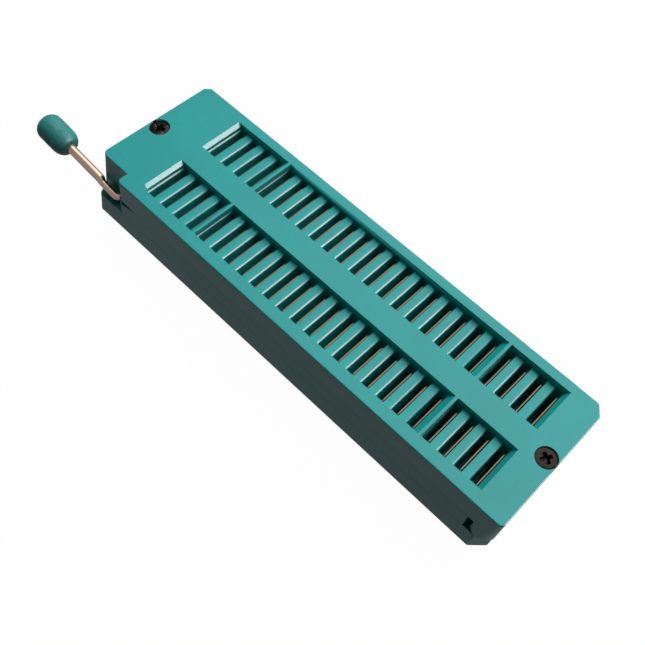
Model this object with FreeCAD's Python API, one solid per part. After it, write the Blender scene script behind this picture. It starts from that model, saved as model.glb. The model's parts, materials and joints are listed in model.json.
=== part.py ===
import FreeCAD, Part
import math
import os

# Zero insertion force test socket, sizes in millimetres.
# X runs along the two rows of slots, Y across them and Z up.
# The origin is the middle of the slot field, on the seating plane under the base.
# The front is the side that faces -Y, where the lever lies.

Vector = FreeCAD.Vector

# Slot and pin grid
PITCH = 2.54
SLOTS_PER_ROW = 24
ROW_SPACING = 15.24
SLOT_WIDTH = 1.24
SLOT_INNER = 1.92
SLOT_OUTER = 9.22
RIB_BARS = (4, 20)
RIB_TOP = 0.42

# Outer body
LEFT_BLOCK = 8.42
RIGHT_BLOCK = 4.64
FRONT_REACH = 11.1
BACK_REACH = 10.72
BASE_HEIGHT = 3.9
BAND_HEIGHT = 3.1
COVER_HEIGHT = 4.16
END_STEP = 0.06
EDGE_ROUND = 0.16
CORNER_ROUND = 0.5
LEFT_FOOT_ROUND = 0.45
LEFT_TOP_ROUND = 0.95
RIGHT_FOOT_ROUND = 1.7
RIGHT_TOP_ROUND = 0.75
COVER_FLARE = 0.55
BASE_FLARE = 0.25
NOTCH_FLARE = 0.12
BACK_LEFT_CHAMFER = 0.8
FRONT_RIGHT_CHAMFER = 1.85
BACK_RIGHT_LENGTH = 1.2
BACK_RIGHT_DEPTH = 1.6

# Cover
PLATE_THICKNESS = 1.06
WINDOW_BEVEL = 0.5
WINDOW_SLOPE = 0.66
WINDOW_ROUND = 0.6
COVER_WALL = 0.9
RIGHT_LEG = 3.0
RIGHT_LEG_ROUND = 1.45
NOTCH_LENGTH = 5.3
NOTCH_DEPTH = 1.8
NOTCH_ROUND = 0.8

# Slider
TRAVEL = 0.8
STOP_GAP = 0.1
SLIDE_GAP = 0.04
SIDE_GAP = 0.1
BAR_BEVEL = 0.18
RELIEF_LENGTH = 2.9
RELIEF_DROP = 0.8
RELIEF_DEPTH = 0.7
RELIEF_OFFSET = 0.25

# Lever
AXLE_FROM_NOTCH = 1.6
AXLE_HEIGHT = 5.1
AXLE_RADIUS = 0.55
ARM_RADIUS = 0.7
ARM_INSET = 0.79
ARM_RISE = 0.19
ARM_SHIFT = 0.17
NECK_LENGTH = 3.2
NECK_TAPER = 1.2
BEND_RADIUS = 0.7
REST_ANGLE = 7.35
LIFT_ANGLE = 83.0
BEARING_GAP = 0.05
CRANK_GAP = 0.07
CRANK_SPREAD = 5.0
CRANK_WIDTH = 3.0
CRANK_OVERHANG = 0.15
TAB_JAW = 0.8
TAB_ROOF = 1.0
TAB_CLEARANCE = 0.2
SADDLE_WIDTH = 1.2
SADDLE_SETBACK = 0.2
SADDLE_RISE = 0.4
SADDLE_JAW = 0.7
AXLE_END_GAP = 0.2

# Knob, along the arm
KNOB_START = 10.85
KNOB_LENGTH = 6.05
KNOB_RADIUS = 2.1
KNOB_NECK = 1.05
KNOB_DOME = 1.9
KNOB_END_ROUND = 1.35
KNOB_SEAM = 2.5
SEAM_WIDTH = 0.12
SEAM_DEPTH = 0.05
KNOB_BORE = 4.6
KNOB_FIT = 0.01

# Screws
SCREW_INSET = 1.6
SCREW_HEAD_RADIUS = 1.5
SCREW_HEAD_RIM = 0.12
SCREW_RADIUS = 0.8
SCREW_LENGTH = 10.2
SCREW_FIT = 0.02
SCREW_CLEARANCE = 0.15
HEAD_SINK = 0.06
HEAD_GAP = 0.04
RECESS_SPAN = 0.85
RECESS_SLOT = 0.2
RECESS_DEPTH = 0.9
RECESS_DRAFT = 0.45

# Contacts
STRIP = 0.25
LEAF_INNER = 2.25
LEAF_OUTER = 8.9
LEAF_TOP_DROP = 0.4
LEAF_BEND_DROP = 0.25
LEAF_CORNER = 0.7
LEAF_LEAN = 0.06
LEAF_BAR_GAP = 0.075
LEAN_LENGTH = 1.1
ROOT_FLOOR = 0.8
ROOT_HEIGHT = 1.4
CELL_LEFT = 0.35
CELL_RIGHT = 0.75
STRIP_FIT = 0.02
TAIL_WIDTH = 0.6
TAIL_LENGTH = 3.6
TAIL_POINT = 0.4
TAIL_TIP = 0.3
SHOULDER_DRAFT = 1.0

# Places worked out from the sizes above
half_field = SLOTS_PER_ROW * PITCH / 2
left_x = -half_field - LEFT_BLOCK
right_x = half_field + RIGHT_BLOCK
seam_z = BASE_HEIGHT + BAND_HEIGHT
top_z = seam_z + COVER_HEIGHT
ceiling_z = top_z - PLATE_THICKNESS
bar_top_z = ceiling_z - SLIDE_GAP
notch_x = left_x + NOTCH_LENGTH
notch_y = -FRONT_REACH + NOTCH_DEPTH
slider_left = notch_x + STOP_GAP
right_leg_x = right_x - RIGHT_LEG
slider_right = right_leg_x - TRAVEL - STOP_GAP
axle_x = notch_x - AXLE_FROM_NOTCH
neck_y = -FRONT_REACH + ARM_INSET
crank_lean = LIFT_ANGLE / 2
crank_throw = TRAVEL / (2 * math.sin(math.radians(crank_lean)))
crank_x = axle_x - crank_throw * math.sin(math.radians(crank_lean))
crank_z = AXLE_HEIGHT + crank_throw * math.cos(math.radians(crank_lean))
crank_top = AXLE_HEIGHT + crank_throw + AXLE_RADIUS
tab_top = crank_top + CRANK_GAP + TAB_ROOF
tab_left = crank_x - AXLE_RADIUS - CRANK_GAP - TAB_JAW
crank_reach = CRANK_WIDTH / 2 + CRANK_OVERHANG
saddle_end = CRANK_SPREAD + crank_reach + SADDLE_SETBACK + SADDLE_WIDTH
axle_end = saddle_end + AXLE_END_GAP
room_left = slider_left + COVER_WALL - SIDE_GAP
screw_places = {"left": left_x + SCREW_INSET, "right": right_x - SCREW_INSET}
screw_y = (BACK_REACH - FRONT_REACH) / 2
screw_face_z = top_z - END_STEP - HEAD_SINK
row_sides = {"front": -1, "back": 1}


def block(x0, x1, y0, y1, z0, z1):
    """Box between two corners."""
    return Part.makeBox(x1 - x0, y1 - y0, z1 - z0, Vector(x0, y0, z0))


def profile_wire(points, place):
    """Closed wire of straight edges, each 2D point put in space by place."""
    corners = [place(a, b) for a, b in points]
    corners.append(corners[0])
    return Part.makePolygon(corners)


def prism_xz(points, y0, y1):
    """Prism of an XZ outline between two Y places."""
    wire = profile_wire(points, lambda x, z: Vector(x, y0, z))
    return Part.Face(wire).extrude(Vector(0, y1 - y0, 0))


def prism_yz(points, x0, x1):
    """Prism of a YZ outline between two X places."""
    wire = profile_wire(points, lambda y, z: Vector(x0, y, z))
    return Part.Face(wire).extrude(Vector(x1 - x0, 0, 0))


def rounded_wire(corners, z):
    """Level outline whose corners (x, y, radius) are rounded."""
    count = len(corners)
    trims = []
    for i, (x, y, radius) in enumerate(corners):
        here = Vector(x, y, z)
        before = Vector(corners[i - 1][0], corners[i - 1][1], z) - here
        after = Vector(corners[(i + 1) % count][0], corners[(i + 1) % count][1], z) - here
        before.normalize()
        after.normalize()
        half = before.getAngle(after) / 2
        reach = radius / math.tan(half)
        bisector = before + after
        bisector.normalize()
        middle = here + bisector * (radius / math.sin(half) - radius)
        trims.append((here + before * reach, middle, here + after * reach, radius))
    edges = []
    for i, (start, middle, end, radius) in enumerate(trims):
        if radius > 0:
            edges.append(Part.Arc(start, middle, end).toShape())
        next_start = trims[(i + 1) % count][0]
        edges.append(Part.LineSegment(end, next_start).toShape())
    return Part.Wire(edges)


def drafted_block(foot, top, z0, z1):
    """Moulded block whose walls run straight from its outline at the foot to the one at the top."""
    return Part.makeLoft([rounded_wire(foot, z0), rounded_wire(top, z1)], True, True)


def rod(radius, start, direction, length):
    """Round bar from a point along a direction."""
    return Part.makeCylinder(radius, length, start, direction)


def slot_centres():
    """X places of the slots in a row."""
    return [(i - (SLOTS_PER_ROW - 1) / 2) * PITCH for i in range(SLOTS_PER_ROW)]


def row_span(side, inner, outer):
    """Low and high Y of a stretch from inner to outer on one row."""
    return sorted((side * inner, side * outer))


def saddle_spans():
    """Low and high Y of each bearing saddle, beside the cranked lengths."""
    reach = crank_reach + SADDLE_SETBACK
    spans = []
    for middle in (-CRANK_SPREAD, CRANK_SPREAD):
        spans.append((middle - reach - SADDLE_WIDTH, middle - reach))
        spans.append((middle + reach, middle + reach + SADDLE_WIDTH))
    return spans


def base_corners(left, left_round):
    """Outline of the base, chamfered at three corners, for a place and round of its left end."""
    right = right_x - STOP_GAP
    return [
        (left, -FRONT_REACH, left_round),
        (right - FRONT_RIGHT_CHAMFER, -FRONT_REACH, CORNER_ROUND),
        (right, -FRONT_REACH + FRONT_RIGHT_CHAMFER, CORNER_ROUND),
        (right, BACK_REACH - BACK_RIGHT_DEPTH, CORNER_ROUND),
        (right - BACK_RIGHT_LENGTH, BACK_REACH, CORNER_ROUND),
        (left + BACK_LEFT_CHAMFER, BACK_REACH, 0),
        (left, BACK_REACH - BACK_LEFT_CHAMFER, 0),
    ]


def cover_corners(left, notch, left_round, right_round):
    """Outline of the cover, with its notch for the lever, for a place of its left end and notch wall."""
    return [
        (left, notch, left_round),
        (notch_x, notch, 0),
        (notch_x, -FRONT_REACH, NOTCH_ROUND),
        (right_x, -FRONT_REACH, right_round),
        (right_x, BACK_REACH - BACK_RIGHT_DEPTH, CORNER_ROUND),
        (right_x - BACK_RIGHT_LENGTH, BACK_REACH, CORNER_ROUND),
        (left + BACK_LEFT_CHAMFER, BACK_REACH, 0),
        (left, BACK_REACH - BACK_LEFT_CHAMFER, 0),
    ]


def make_base():
    """Lower plate with contact cells, screw pilot holes and bearing saddles."""
    foot = base_corners(left_x - BASE_FLARE, LEFT_FOOT_ROUND)
    top = base_corners(left_x, LEFT_TOP_ROUND)
    body = drafted_block(foot, top, 0, BASE_HEIGHT)
    saddle_top = AXLE_HEIGHT + SADDLE_RISE
    jaw = AXLE_RADIUS + BEARING_GAP + SADDLE_JAW
    for y0, y1 in saddle_spans():
        body = body.fuse(block(axle_x - jaw, axle_x + jaw, y0, y1, 0, saddle_top))
    trough = AXLE_RADIUS + BEARING_GAP
    start = Vector(axle_x, -saddle_end, AXLE_HEIGHT)
    body = body.cut(rod(trough, start, Vector(0, 1, 0), 2 * saddle_end))
    body = body.cut(block(axle_x - trough, axle_x + trough, -saddle_end, saddle_end, AXLE_HEIGHT, top_z))
    cutters = []
    for x in slot_centres():
        for side in row_sides.values():
            y0, y1 = row_span(side, LEAF_INNER - STRIP_FIT, LEAF_OUTER + STRIP_FIT)
            root = STRIP / 2 + STRIP_FIT
            cell_floor = ROOT_FLOOR + ROOT_HEIGHT
            cutters.append(block(x - root, x + root, y0, y1, ROOT_FLOOR - STRIP_FIT, BASE_HEIGHT))
            cutters.append(block(x - CELL_LEFT, x + CELL_RIGHT, y0, y1, cell_floor, BASE_HEIGHT))
            tail = TAIL_WIDTH / 2 + STRIP_FIT
            pin_y = side * ROW_SPACING / 2
            cutters.append(block(x - root, x + root, pin_y - tail, pin_y + tail, 0, ROOT_FLOOR))
    hole_bottom = screw_face_z - SCREW_LENGTH - HEAD_GAP
    for x in screw_places.values():
        start = Vector(x, screw_y, hole_bottom)
        cutters.append(rod(SCREW_RADIUS + SCREW_FIT, start, Vector(0, 0, 1), BASE_HEIGHT - hole_bottom))
    return body.cut(cutters).removeSplitter()


def window_cutters():
    """Two long windows through the cover plate, bevelled at the left end and sloped at the right."""
    left_wall = -half_field + WINDOW_BEVEL
    outline = [
        (left_wall, ceiling_z),
        (half_field - WINDOW_SLOPE, ceiling_z),
        (half_field, top_z),
        (-half_field, top_z),
        (left_wall, top_z - WINDOW_BEVEL),
    ]
    front = prism_xz(outline, -SLOT_OUTER, -SLOT_INNER)
    back = prism_xz(outline, SLOT_INNER, SLOT_OUTER)
    corner = [edge for edge in front.Edges if at_bevel_corner(edge)]
    return [front.makeFillet(WINDOW_ROUND, corner), back]


def at_bevel_corner(edge):
    """Whether an edge of the front window runs down its outer left corner."""
    box = edge.BoundBox
    return box.XMax < 0 and box.YMax < -SLOT_OUTER + SLIDE_GAP and box.ZLength > SLIDE_GAP


def cover_ribs():
    """Full height ribs that split each window, sloped on their left side."""
    half_bar = (PITCH - SLOT_WIDTH) / 2
    ribs = []
    for bar in RIB_BARS:
        x = -half_field + bar * PITCH
        outline = [
            (x - half_bar, ceiling_z),
            (x + half_bar, ceiling_z),
            (x + half_bar, top_z),
            (x + half_bar - RIB_TOP, top_z),
        ]
        for side in row_sides.values():
            y0, y1 = row_span(side, SLOT_INNER, SLOT_OUTER)
            ribs.append(prism_xz(outline, y0, y1))
    return ribs


def axle_room():
    """Space inside the left leg for the axle, its saddles and the slider's tabs."""
    jaw = AXLE_RADIUS + BEARING_GAP + SADDLE_JAW + SLIDE_GAP
    roof = AXLE_HEIGHT + AXLE_RADIUS + SIDE_GAP
    rooms = []
    for y0, y1 in saddle_spans():
        x0 = axle_x - jaw
        rooms.append(block(x0, notch_x, y0 - SIDE_GAP, y1 + SIDE_GAP, BASE_HEIGHT, roof))
    hole = AXLE_RADIUS + SIDE_GAP
    wall = notch_y - NOTCH_FLARE
    rooms.append(block(axle_x - hole, axle_x + hole, wall, axle_end + SIDE_GAP, BASE_HEIGHT, roof))
    reach = crank_reach + SIDE_GAP
    room_top = tab_top + SLIDE_GAP
    x0 = tab_left - TAB_CLEARANCE
    for middle in (-CRANK_SPREAD, CRANK_SPREAD):
        rooms.append(block(x0, room_left + SIDE_GAP, middle - reach, middle + reach, BASE_HEIGHT, room_top))
    return rooms


def make_cover():
    """Upper shell: plate with windows, side walls, and a leg at each end."""
    right_end = block(half_field, right_x, -FRONT_REACH, BACK_REACH, BASE_HEIGHT, top_z)
    body = rimmed_cover(top_z).cut(right_end)
    body = body.fuse(rimmed_cover(top_z - END_STEP).common(right_end))
    under = block(notch_x, right_leg_x, -FRONT_REACH, BACK_REACH, BASE_HEIGHT, seam_z)
    right_room = slider_right + TRAVEL
    low_y = -FRONT_REACH + COVER_WALL
    high_y = BACK_REACH - COVER_WALL
    room = block(room_left, right_room, low_y, high_y, BASE_HEIGHT, ceiling_z)
    body = body.cut([under, room])
    foot = [edge for edge in body.Edges if leg_foot(edge)]
    body = body.makeFillet(RIGHT_LEG_ROUND, foot)
    cutters = window_cutters() + axle_room()
    for x in screw_places.values():
        cutters.append(rod(SCREW_RADIUS + SCREW_CLEARANCE, Vector(x, screw_y, 0), Vector(0, 0, 1), top_z))
        cutters.append(screw_head(x, HEAD_GAP, top_z + HEAD_SINK))
    return body.cut(cutters).fuse(cover_ribs()).removeSplitter()


def rimmed_cover(height):
    """Cover block up to a height, with its top edge rounded all around."""
    foot = cover_corners(left_x - COVER_FLARE, notch_y - NOTCH_FLARE, LEFT_FOOT_ROUND, RIGHT_FOOT_ROUND)
    top = cover_corners(left_x, notch_y, LEFT_TOP_ROUND, RIGHT_TOP_ROUND)
    body = drafted_block(foot, top, BASE_HEIGHT, height)
    rim = [edge for edge in body.Edges if edge.BoundBox.ZMin > height - SLIDE_GAP]
    return body.makeFillet(EDGE_ROUND, rim)


def leg_foot(edge):
    """Whether an edge is the lower left edge of the right leg."""
    box = edge.BoundBox
    low = box.ZMax < BASE_HEIGHT + SLIDE_GAP
    at_leg = abs(box.XMin - right_leg_x) < SLIDE_GAP and box.XLength < SLIDE_GAP
    return low and at_leg and box.YLength > FRONT_REACH


def make_slider():
    """Middle layer: outer band, upper block with the bars, and two crank tabs."""
    low_z = BASE_HEIGHT + SLIDE_GAP
    band_top = seam_z - SLIDE_GAP
    body = block(slider_left, slider_right, -FRONT_REACH, BACK_REACH, low_z, band_top)
    block_left = slider_left + COVER_WALL
    block_right = slider_right - STOP_GAP
    low_y = -FRONT_REACH + COVER_WALL + SIDE_GAP
    high_y = BACK_REACH - COVER_WALL - SIDE_GAP
    body = body.fuse(block(block_left, block_right, low_y, high_y, low_z, bar_top_z))
    tabs = []
    crank_slots = []
    reach = AXLE_RADIUS + CRANK_GAP
    slot_top = crank_top + CRANK_GAP
    for middle in (-CRANK_SPREAD, CRANK_SPREAD):
        y0 = middle - CRANK_WIDTH / 2
        y1 = middle + CRANK_WIDTH / 2
        tabs.append(block(tab_left, block_left + TAB_ROOF, y0, y1, low_z, tab_top))
        crank_slots.append(block(crank_x - reach, crank_x + reach, y0, y1, low_z, slot_top))
    body = body.fuse(tabs)
    cutters = crank_slots + bar_slots() + [seam_relief()]
    return body.cut(cutters).removeSplitter()


def bar_slots():
    """Slots between the bars, each flared along the edge of the bar on its left."""
    half = SLOT_WIDTH / 2
    outline = [
        (-half, BASE_HEIGHT),
        (half, BASE_HEIGHT),
        (half, bar_top_z),
        (-half - BAR_BEVEL, bar_top_z),
        (-half, bar_top_z - BAR_BEVEL),
    ]
    cutters = []
    for x in slot_centres():
        shifted = [(x + a, b) for a, b in outline]
        for side in row_sides.values():
            y0, y1 = row_span(side, SLOT_INNER, SLOT_OUTER)
            cutters.append(prism_xz(shifted, y0, y1))
    return cutters


def seam_relief():
    """Shallow wedge cut in the band's front edge beside the lever notch."""
    x0 = slider_left + RELIEF_OFFSET
    outline = [(x0, seam_z), (x0, seam_z - RELIEF_DROP), (x0 + RELIEF_LENGTH, seam_z)]
    return prism_xz(outline, -FRONT_REACH, -FRONT_REACH + RELIEF_DEPTH)


def arm_direction():
    """Direction of the arm from the axle out to the knob, at rest."""
    angle = math.radians(REST_ANGLE)
    return Vector(-math.cos(angle), 0, math.sin(angle))


def arm_axis(distance):
    """Point on the arm's middle line, which runs a little above and inside the neck's."""
    along = arm_direction()
    across = Vector(0, 1, 0)
    start = Vector(axle_x, neck_y, AXLE_HEIGHT)
    return start + along * distance + across * ARM_SHIFT + across.cross(along) * ARM_RISE


def round_section(centre, along, radius):
    """Round wire about a point, square to a direction."""
    return Part.Wire([Part.Circle(centre, along, radius).toShape()])


def make_lever_rod():
    """Bent rod: arm, thinner neck set off from it, elbow, and axle with two cranked lengths."""
    along = arm_direction()
    across = Vector(0, 1, 0)
    corner = Vector(axle_x, neck_y, AXLE_HEIGHT)
    bend_start = corner + along * BEND_RADIUS
    bend_centre = bend_start + across * BEND_RADIUS
    neck = rod(AXLE_RADIUS, bend_start, along, NECK_LENGTH - BEND_RADIUS)
    joggle = Part.makeLoft([
        round_section(corner + along * NECK_LENGTH, along, AXLE_RADIUS),
        round_section(arm_axis(NECK_LENGTH + NECK_TAPER), along, ARM_RADIUS),
    ], True, True)
    arm_length = KNOB_START + KNOB_BORE - NECK_LENGTH - NECK_TAPER
    arm = rod(ARM_RADIUS, arm_axis(NECK_LENGTH + NECK_TAPER), along, arm_length)
    section = Part.Face(round_section(bend_start, along, AXLE_RADIUS))
    elbow = section.revolve(bend_centre, across.cross(along), 90)
    pieces = [arm, joggle, neck]
    spans = [
        (neck_y + BEND_RADIUS, -CRANK_SPREAD - crank_reach, axle_x, AXLE_HEIGHT),
        (-CRANK_SPREAD - crank_reach, -CRANK_SPREAD + crank_reach, crank_x, crank_z),
        (-CRANK_SPREAD + crank_reach, CRANK_SPREAD - crank_reach, axle_x, AXLE_HEIGHT),
        (CRANK_SPREAD - crank_reach, CRANK_SPREAD + crank_reach, crank_x, crank_z),
        (CRANK_SPREAD + crank_reach, axle_end, axle_x, AXLE_HEIGHT),
    ]
    for y0, y1, x, z in spans:
        pieces.append(rod(AXLE_RADIUS, Vector(x, y0, z), across, y1 - y0))
    return elbow.fuse(pieces)


def make_knob():
    """Turned knob with a domed near end, a rounded far end and a blind bore."""
    round_in = KNOB_END_ROUND * (1 - math.sqrt(0.5))
    end_flat = KNOB_RADIUS - KNOB_END_ROUND
    dome_rise = KNOB_RADIUS - KNOB_NECK
    bore = ARM_RADIUS + KNOB_FIT
    depth = KNOB_BORE + KNOB_FIT
    seam0 = KNOB_SEAM - SEAM_WIDTH / 2
    seam1 = KNOB_SEAM + SEAM_WIDTH / 2
    far_round = KNOB_LENGTH - KNOB_END_ROUND

    def at(s, r):
        return Vector(s, 0, r)

    def line(a, b):
        return Part.LineSegment(a, b).toShape()

    dome_middle = at(KNOB_DOME * (1 - math.sqrt(0.5)), KNOB_NECK + dome_rise * math.sqrt(0.5))
    end_middle = at(KNOB_LENGTH - round_in, KNOB_RADIUS - round_in)
    groove = at(KNOB_SEAM, KNOB_RADIUS - SEAM_DEPTH)
    edges = [
        line(at(0, bore), at(0, KNOB_NECK)),
        Part.Arc(at(0, KNOB_NECK), dome_middle, at(KNOB_DOME, KNOB_RADIUS)).toShape(),
        line(at(KNOB_DOME, KNOB_RADIUS), at(seam0, KNOB_RADIUS)),
        line(at(seam0, KNOB_RADIUS), groove),
        line(groove, at(seam1, KNOB_RADIUS)),
        line(at(seam1, KNOB_RADIUS), at(far_round, KNOB_RADIUS)),
        Part.Arc(at(far_round, KNOB_RADIUS), end_middle, at(KNOB_LENGTH, end_flat)).toShape(),
        line(at(KNOB_LENGTH, end_flat), at(KNOB_LENGTH, 0)),
        line(at(KNOB_LENGTH, 0), at(depth, 0)),
        line(at(depth, 0), at(depth, bore)),
        line(at(depth, bore), at(0, bore)),
    ]
    knob = Part.Face(Part.Wire(edges)).revolve(Vector(0, 0, 0), Vector(1, 0, 0), 360)
    knob.rotate(Vector(0, 0, 0), Vector(0, 1, 0), 180 + REST_ANGLE)
    knob.translate(arm_axis(KNOB_START))
    return knob


def screw_head(x, grow, head_top):
    """Countersunk head shape, grown by a clearance, running up to a height."""
    radius = SCREW_HEAD_RADIUS + grow
    neck = SCREW_RADIUS + grow
    cone_top = screw_face_z - SCREW_HEAD_RIM
    cone_height = SCREW_HEAD_RADIUS - SCREW_RADIUS
    cone = Part.makeCone(neck, radius, cone_height, Vector(x, screw_y, cone_top - cone_height))
    rim = rod(radius, Vector(x, screw_y, cone_top), Vector(0, 0, 1), head_top - cone_top)
    return cone.fuse(rim)


def make_screw(x):
    """Countersunk screw with a cross recess and a pointed end."""
    tip_length = SCREW_RADIUS
    tip_z = screw_face_z - SCREW_LENGTH
    shank_z = tip_z + tip_length
    shank_length = screw_face_z - SCREW_HEAD_RIM - shank_z
    shank = rod(SCREW_RADIUS, Vector(x, screw_y, shank_z), Vector(0, 0, 1), shank_length)
    tip = Part.makeCone(SCREW_RADIUS / 2, SCREW_RADIUS, tip_length, Vector(x, screw_y, tip_z))
    body = screw_head(x, 0, screw_face_z).fuse([shank, tip])
    floor = RECESS_SPAN * RECESS_DRAFT
    outline = [
        (-RECESS_SPAN, 0),
        (RECESS_SPAN, 0),
        (floor, -RECESS_DEPTH),
        (-floor, -RECESS_DEPTH),
    ]
    placed = [(x + a, screw_face_z + b) for a, b in outline]
    wing = prism_xz(placed, screw_y - RECESS_SLOT, screw_y + RECESS_SLOT)
    cross_wing = wing.copy()
    cross_wing.rotate(Vector(x, screw_y, 0), Vector(0, 0, 1), 90)
    return body.cut([wing, cross_wing]).removeSplitter()


def strip_outline(path):
    """XZ outline of a strip of even thickness along a path of points."""
    left = []
    right = []
    last = len(path) - 1
    for i, (x, z) in enumerate(path):
        before = path[max(i - 1, 0)]
        after = path[min(i + 1, last)]
        run_in = Vector(x - before[0], 0, z - before[1])
        run_out = Vector(after[0] - x, 0, after[1] - z)
        if i == 0:
            run_in = run_out
        if i == last:
            run_out = run_in
        run_in.normalize()
        run_out.normalize()
        mean = run_in + run_out
        mean.normalize()
        half = STRIP / 2 / mean.dot(run_in)
        left.append((x - mean.z * half, z + mean.x * half))
        right.append((x + mean.z * half, z - mean.x * half))
    return left + right[::-1]


def make_contact(side):
    """Stamped contact for the slot at X zero: solder tail, root and spring leaf."""
    leaf_x = SLOT_WIDTH / 2 - LEAF_BAR_GAP - STRIP / 2
    leaf_top = bar_top_z - LEAF_TOP_DROP
    root_top = ROOT_FLOOR + ROOT_HEIGHT
    path = [
        (0, -TAIL_LENGTH),
        (0, root_top),
        (leaf_x, BASE_HEIGHT - LEAF_BEND_DROP),
        (leaf_x, leaf_top - LEAN_LENGTH),
        (leaf_x - LEAF_LEAN, leaf_top),
    ]
    pin = ROW_SPACING / 2
    half_tail = TAIL_WIDTH / 2
    shape = [
        (pin - TAIL_TIP / 2, -TAIL_LENGTH),
        (pin + TAIL_TIP / 2, -TAIL_LENGTH),
        (pin + half_tail, -TAIL_LENGTH + TAIL_POINT),
        (pin + half_tail, ROOT_FLOOR),
        (LEAF_OUTER, ROOT_FLOOR),
        (LEAF_OUTER, leaf_top - LEAF_CORNER),
        (LEAF_OUTER - LEAF_CORNER, leaf_top),
        (LEAF_INNER + LEAF_CORNER, leaf_top),
        (LEAF_INNER, leaf_top - LEAF_CORNER),
        (LEAF_INNER, ROOT_FLOOR + SHOULDER_DRAFT),
        (LEAF_INNER + SHOULDER_DRAFT, ROOT_FLOOR),
        (pin - half_tail, ROOT_FLOOR),
        (pin - half_tail, -TAIL_LENGTH + TAIL_POINT),
    ]
    strip = prism_xz(strip_outline(path), *row_span(side, 0, FRONT_REACH))
    blank = prism_yz([(side * y, z) for y, z in shape], -PITCH / 2, PITCH / 2)
    return strip.common(blank)


def build():
    """All the pieces by name, each where it sits with the lever at rest."""
    pieces = {
        "base_housing": make_base(),
        "slider": make_slider(),
        "top_cover": make_cover(),
        "lever_rod": make_lever_rod(),
        "lever_knob": make_knob(),
    }
    for end, x in screw_places.items():
        pieces["cover_screw_" + end] = make_screw(x)
    for name, side in row_sides.items():
        contact = make_contact(side)
        for i, x in enumerate(slot_centres()):
            piece = contact.copy()
            piece.translate(Vector(x, 0, 0))
            pieces["contact_%s_%02d" % (name, i + 1)] = piece
    return pieces


os.makedirs("parts", exist_ok=True)
for piece_name, shape in build().items():
    shape.exportStep("parts/" + piece_name + ".step")
    box = shape.BoundBox
    print(piece_name, "solids", len(shape.Solids), "valid", shape.isValid(),
          "z", round(box.ZMin, 2), round(box.ZMax, 2))
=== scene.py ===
import json
import math

import bmesh
import bpy
from bpy.props import FloatProperty, FloatVectorProperty, IntProperty, PointerProperty
from mathutils import Matrix, Quaternion, Vector


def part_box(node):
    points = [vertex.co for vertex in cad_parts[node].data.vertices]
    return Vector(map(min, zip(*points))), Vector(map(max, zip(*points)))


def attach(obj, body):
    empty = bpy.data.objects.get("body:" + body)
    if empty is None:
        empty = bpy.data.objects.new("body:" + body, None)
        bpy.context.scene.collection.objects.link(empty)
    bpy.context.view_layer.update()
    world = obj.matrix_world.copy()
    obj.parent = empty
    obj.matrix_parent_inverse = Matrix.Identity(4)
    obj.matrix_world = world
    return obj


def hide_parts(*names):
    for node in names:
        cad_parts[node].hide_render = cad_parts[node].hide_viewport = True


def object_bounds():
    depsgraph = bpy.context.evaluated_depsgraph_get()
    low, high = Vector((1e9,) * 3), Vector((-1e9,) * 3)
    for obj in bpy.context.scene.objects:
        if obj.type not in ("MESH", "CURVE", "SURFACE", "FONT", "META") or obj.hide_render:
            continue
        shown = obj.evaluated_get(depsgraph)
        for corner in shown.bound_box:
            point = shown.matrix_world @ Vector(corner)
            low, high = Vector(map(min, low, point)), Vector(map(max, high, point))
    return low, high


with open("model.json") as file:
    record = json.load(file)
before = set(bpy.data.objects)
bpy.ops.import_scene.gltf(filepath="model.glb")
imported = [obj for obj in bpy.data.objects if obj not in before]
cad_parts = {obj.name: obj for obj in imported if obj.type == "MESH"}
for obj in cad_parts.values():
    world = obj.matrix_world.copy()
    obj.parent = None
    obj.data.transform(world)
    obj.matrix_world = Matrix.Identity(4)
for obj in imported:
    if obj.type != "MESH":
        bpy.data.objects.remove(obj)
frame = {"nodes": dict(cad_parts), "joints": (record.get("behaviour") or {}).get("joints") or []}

bl_info = {
    "name": "Lever Test Socket",
    "version": (1, 0, 0),
    "blender": (4, 5, 0),
    "location": "3D View > Sidebar > Socket",
    "description": "Finishes a forty-eight way lever socket and lights it for a product picture",
    "category": "Object",
}

MM = 0.001
SIDES = (-1, 1)
ROWS = ("front", "back")
ACROSS = Vector((0, 1, 0))

cad_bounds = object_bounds()
floor_level = cad_bounds[0].z
hinge = next(joint for joint in frame["joints"] if joint["name"] == "lever_hinge")
axle_place = Vector(hinge["pos_m"])


def length(name, description, millimetres):
    """Property for a size, written in millimetres and kept in metres."""
    return FloatProperty(
        name=name, description=description, default=millimetres * MM, unit="LENGTH", precision=5
    )


def colour(name, description, values):
    """Property for a colour, as linear red, green and blue."""
    return FloatVectorProperty(
        name=name, description=description, default=values, subtype="COLOR", size=3, min=0, max=1
    )


def position(name, description, values):
    """Property for a place, in metres."""
    return FloatVectorProperty(
        name=name, description=description, default=values, unit="LENGTH", size=3
    )


def number(name, description, value):
    """Property for a plain number."""
    return FloatProperty(name=name, description=description, default=value)


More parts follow.
